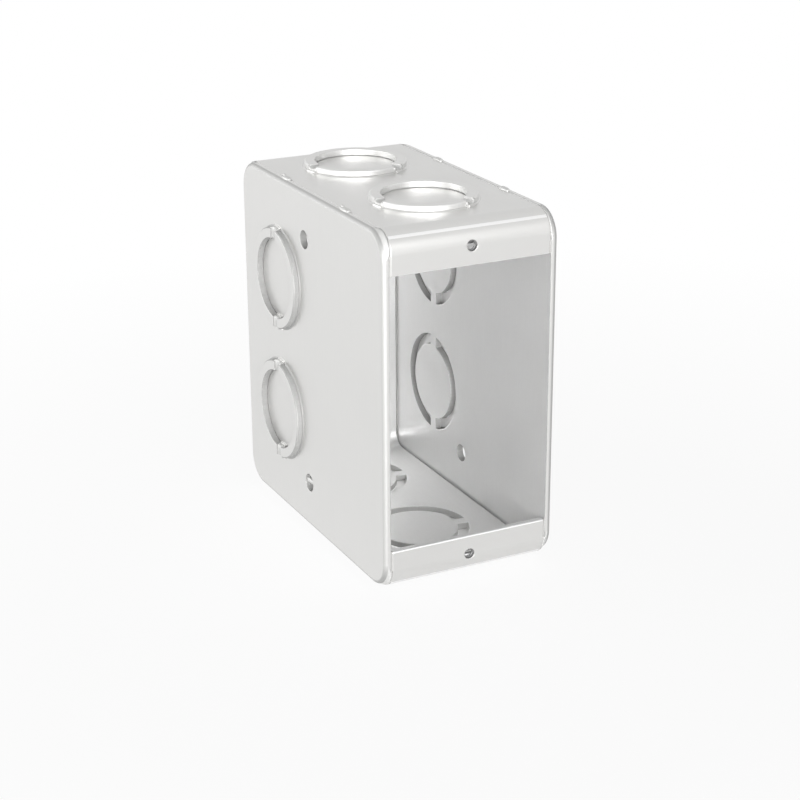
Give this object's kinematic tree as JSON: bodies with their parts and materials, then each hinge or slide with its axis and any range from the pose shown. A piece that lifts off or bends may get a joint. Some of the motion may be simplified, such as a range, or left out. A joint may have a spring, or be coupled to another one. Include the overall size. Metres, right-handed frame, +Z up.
{
  "type": "flush back box",
  "caption": "Deep narrow flush back box of galvanised sheet steel, a folded strip welded between side plates, open at the front, with device flanges and concentric knockouts.",
  "frame": {"origin": "in the front plane of the flanges, half way between the two device screw holes", "axes": "+X across the box to the right as seen from the open front, +Y from the open front to the back wall, +Z up along the line of the device screws"},
  "size_m": [0.0526, 0.0889, 0.0986],
  "materials": {
    "strip_steel": "bright galvanised sheet, satin",
    "plate_steel": "bright galvanised sheet, satin"
  },
  "bodies": {
    "root": {"wrap_strip": "strip_steel", "left_side_plate": "plate_steel", "right_side_plate": "plate_steel"}
  },
  "joints": []
}
